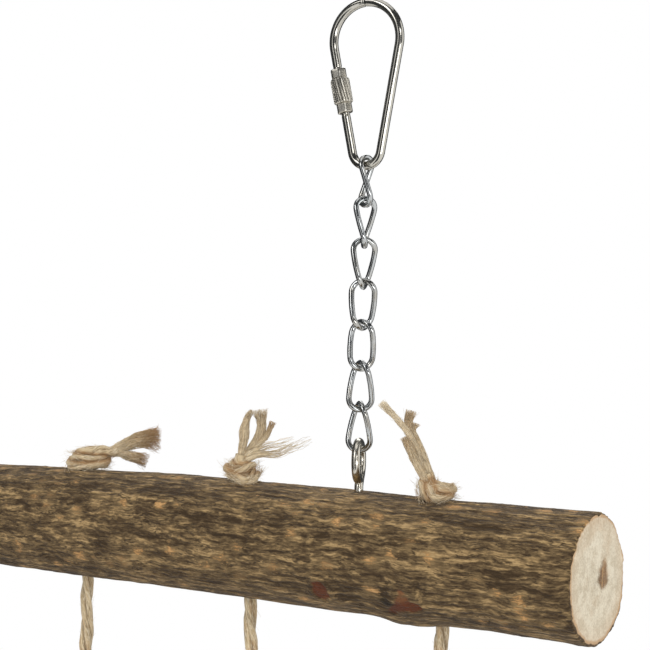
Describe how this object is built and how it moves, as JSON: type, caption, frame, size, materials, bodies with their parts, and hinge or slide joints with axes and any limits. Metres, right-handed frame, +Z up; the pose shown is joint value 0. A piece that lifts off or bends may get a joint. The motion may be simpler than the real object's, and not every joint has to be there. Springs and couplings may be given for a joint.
{
  "type": "bird climbing wall",
  "caption": "Hanging perch ladder for cage birds: a bark log on twisted-link chains with screw-gate quick links, and thinner bark rungs below it on knotted ropes.",
  "frame": {"origin": "inner top of the right quick link, where the cage wire carries it", "axes": "+X along the top log towards its right end, +Y from the front to the back, +Z up"},
  "size_m": [0.417, 0.0413, 0.4771],
  "materials": {
    "bark": "natural bark with sawn ends",
    "hemp_rope": "laid natural fibre",
    "nickel_steel": "polished nickel plate"
  },
  "bodies": {
    "quick_links": {"quick_link_right": "nickel_steel", "quick_link_left": "nickel_steel"},
    "sleeve_right": {"sleeve_nut_right": "nickel_steel"},
    "sleeve_left": {"sleeve_nut_left": "nickel_steel"},
    "chain_1": {"chain_right_link_1": "nickel_steel", "chain_left_link_1": "nickel_steel"},
    "chain_2": {"chain_right_link_2": "nickel_steel", "chain_left_link_2": "nickel_steel"},
    "chain_3": {"chain_right_link_3": "nickel_steel", "chain_left_link_3": "nickel_steel"},
    "chain_4": {"chain_right_link_4": "nickel_steel", "chain_left_link_4": "nickel_steel"},
    "chain_5": {"chain_right_link_5": "nickel_steel", "chain_left_link_5": "nickel_steel"},
    "chain_6": {"chain_right_link_6": "nickel_steel", "chain_left_link_6": "nickel_steel"},
    "chain_7": {"chain_right_link_7": "nickel_steel", "chain_left_link_7": "nickel_steel"},
    "top_bar": {"top_log": "bark", "screw_eye_right": "nickel_steel", "screw_eye_left": "nickel_steel", "rope_1_top_knot": "hemp_rope", "rope_2_top_knot": "hemp_rope", "rope_3_top_knot": "hemp_rope", "rope_4_top_knot": "hemp_rope", "rope_5_top_knot": "hemp_rope"},
    "rung_1_body": {"rung_1": "bark", "rope_1_stretch_1": "hemp_rope", "rope_2_stretch_1": "hemp_rope", "rope_3_stretch_1": "hemp_rope", "rope_4_stretch_1": "hemp_rope", "rope_5_stretch_1": "hemp_rope"},
    "rung_2_body": {"rung_2": "bark", "rope_1_stretch_2": "hemp_rope", "rope_2_stretch_2": "hemp_rope", "rope_3_stretch_2": "hemp_rope", "rope_4_stretch_2": "hemp_rope", "rope_5_stretch_2": "hemp_rope"},
    "rung_3_body": {"rung_3": "bark", "rope_1_stretch_3": "hemp_rope", "rope_2_stretch_3": "hemp_rope", "rope_3_stretch_3": "hemp_rope", "rope_4_stretch_3": "hemp_rope", "rope_5_stretch_3": "hemp_rope"}
  },
  "joints": [
    {"name": "sleeve_right_travel", "type": "slide", "parent": "quick_links", "child": "sleeve_right", "axis": [0.1934, 0.0135, -0.981], "range_m": [0, 0.0112]},
    {"name": "sleeve_left_travel", "type": "slide", "parent": "quick_links", "child": "sleeve_left", "axis": [-0.1934, -0.0135, -0.981], "range_m": [0, 0.0112]},
    {"name": "chain_1_swing", "type": "hinge", "parent": "quick_links", "child": "chain_1", "pos_m": [0, 0, -0.0524], "axis": [1, 0, 0], "range_deg": [-15, 15]},
    {"name": "chain_2_swing", "type": "hinge", "parent": "chain_1", "child": "chain_2", "pos_m": [-0.00041, 0, -0.06543], "axis": [1, 0, 0], "range_deg": [-15, 15]},
    {"name": "chain_3_swing", "type": "hinge", "parent": "chain_2", "child": "chain_3", "pos_m": [-0.00084, 0, -0.07903], "axis": [1, 0, 0], "range_deg": [-15, 15]},
    {"name": "chain_4_swing", "type": "hinge", "parent": "chain_3", "child": "chain_4", "pos_m": [-0.00126, 0, -0.09262], "axis": [1, 0, 0], "range_deg": [-15, 15]},
    {"name": "chain_5_swing", "type": "hinge", "parent": "chain_4", "child": "chain_5", "pos_m": [-0.00169, 0, -0.10621], "axis": [1, 0, 0], "range_deg": [-15, 15]},
    {"name": "chain_6_swing", "type": "hinge", "parent": "chain_5", "child": "chain_6", "pos_m": [-0.00212, 0, -0.11981], "axis": [1, 0, 0], "range_deg": [-15, 15]},
    {"name": "chain_7_swing", "type": "hinge", "parent": "chain_6", "child": "chain_7", "pos_m": [-0.00255, 0, -0.1334], "axis": [1, 0, 0], "range_deg": [-15, 15]},
    {"name": "top_bar_swing", "type": "hinge", "parent": "chain_7", "child": "top_bar", "pos_m": [-0.00297, 0, -0.14699], "axis": [1, 0, 0], "range_deg": [-15, 15]},
    {"name": "rung_1_swing", "type": "hinge", "parent": "top_bar", "child": "rung_1_body", "pos_m": [-0.12577, 0, -0.20406], "axis": [1, 0, 0], "range_deg": [-30, 30]},
    {"name": "rung_2_swing", "type": "hinge", "parent": "rung_1_body", "child": "rung_2_body", "pos_m": [-0.12577, 0, -0.29076], "axis": [1, 0, 0], "range_deg": [-30, 30]},
    {"name": "rung_3_swing", "type": "hinge", "parent": "rung_2_body", "child": "rung_3_body", "pos_m": [-0.12577, 0, -0.37576], "axis": [1, 0, 0], "range_deg": [-30, 30]}
  ]
}
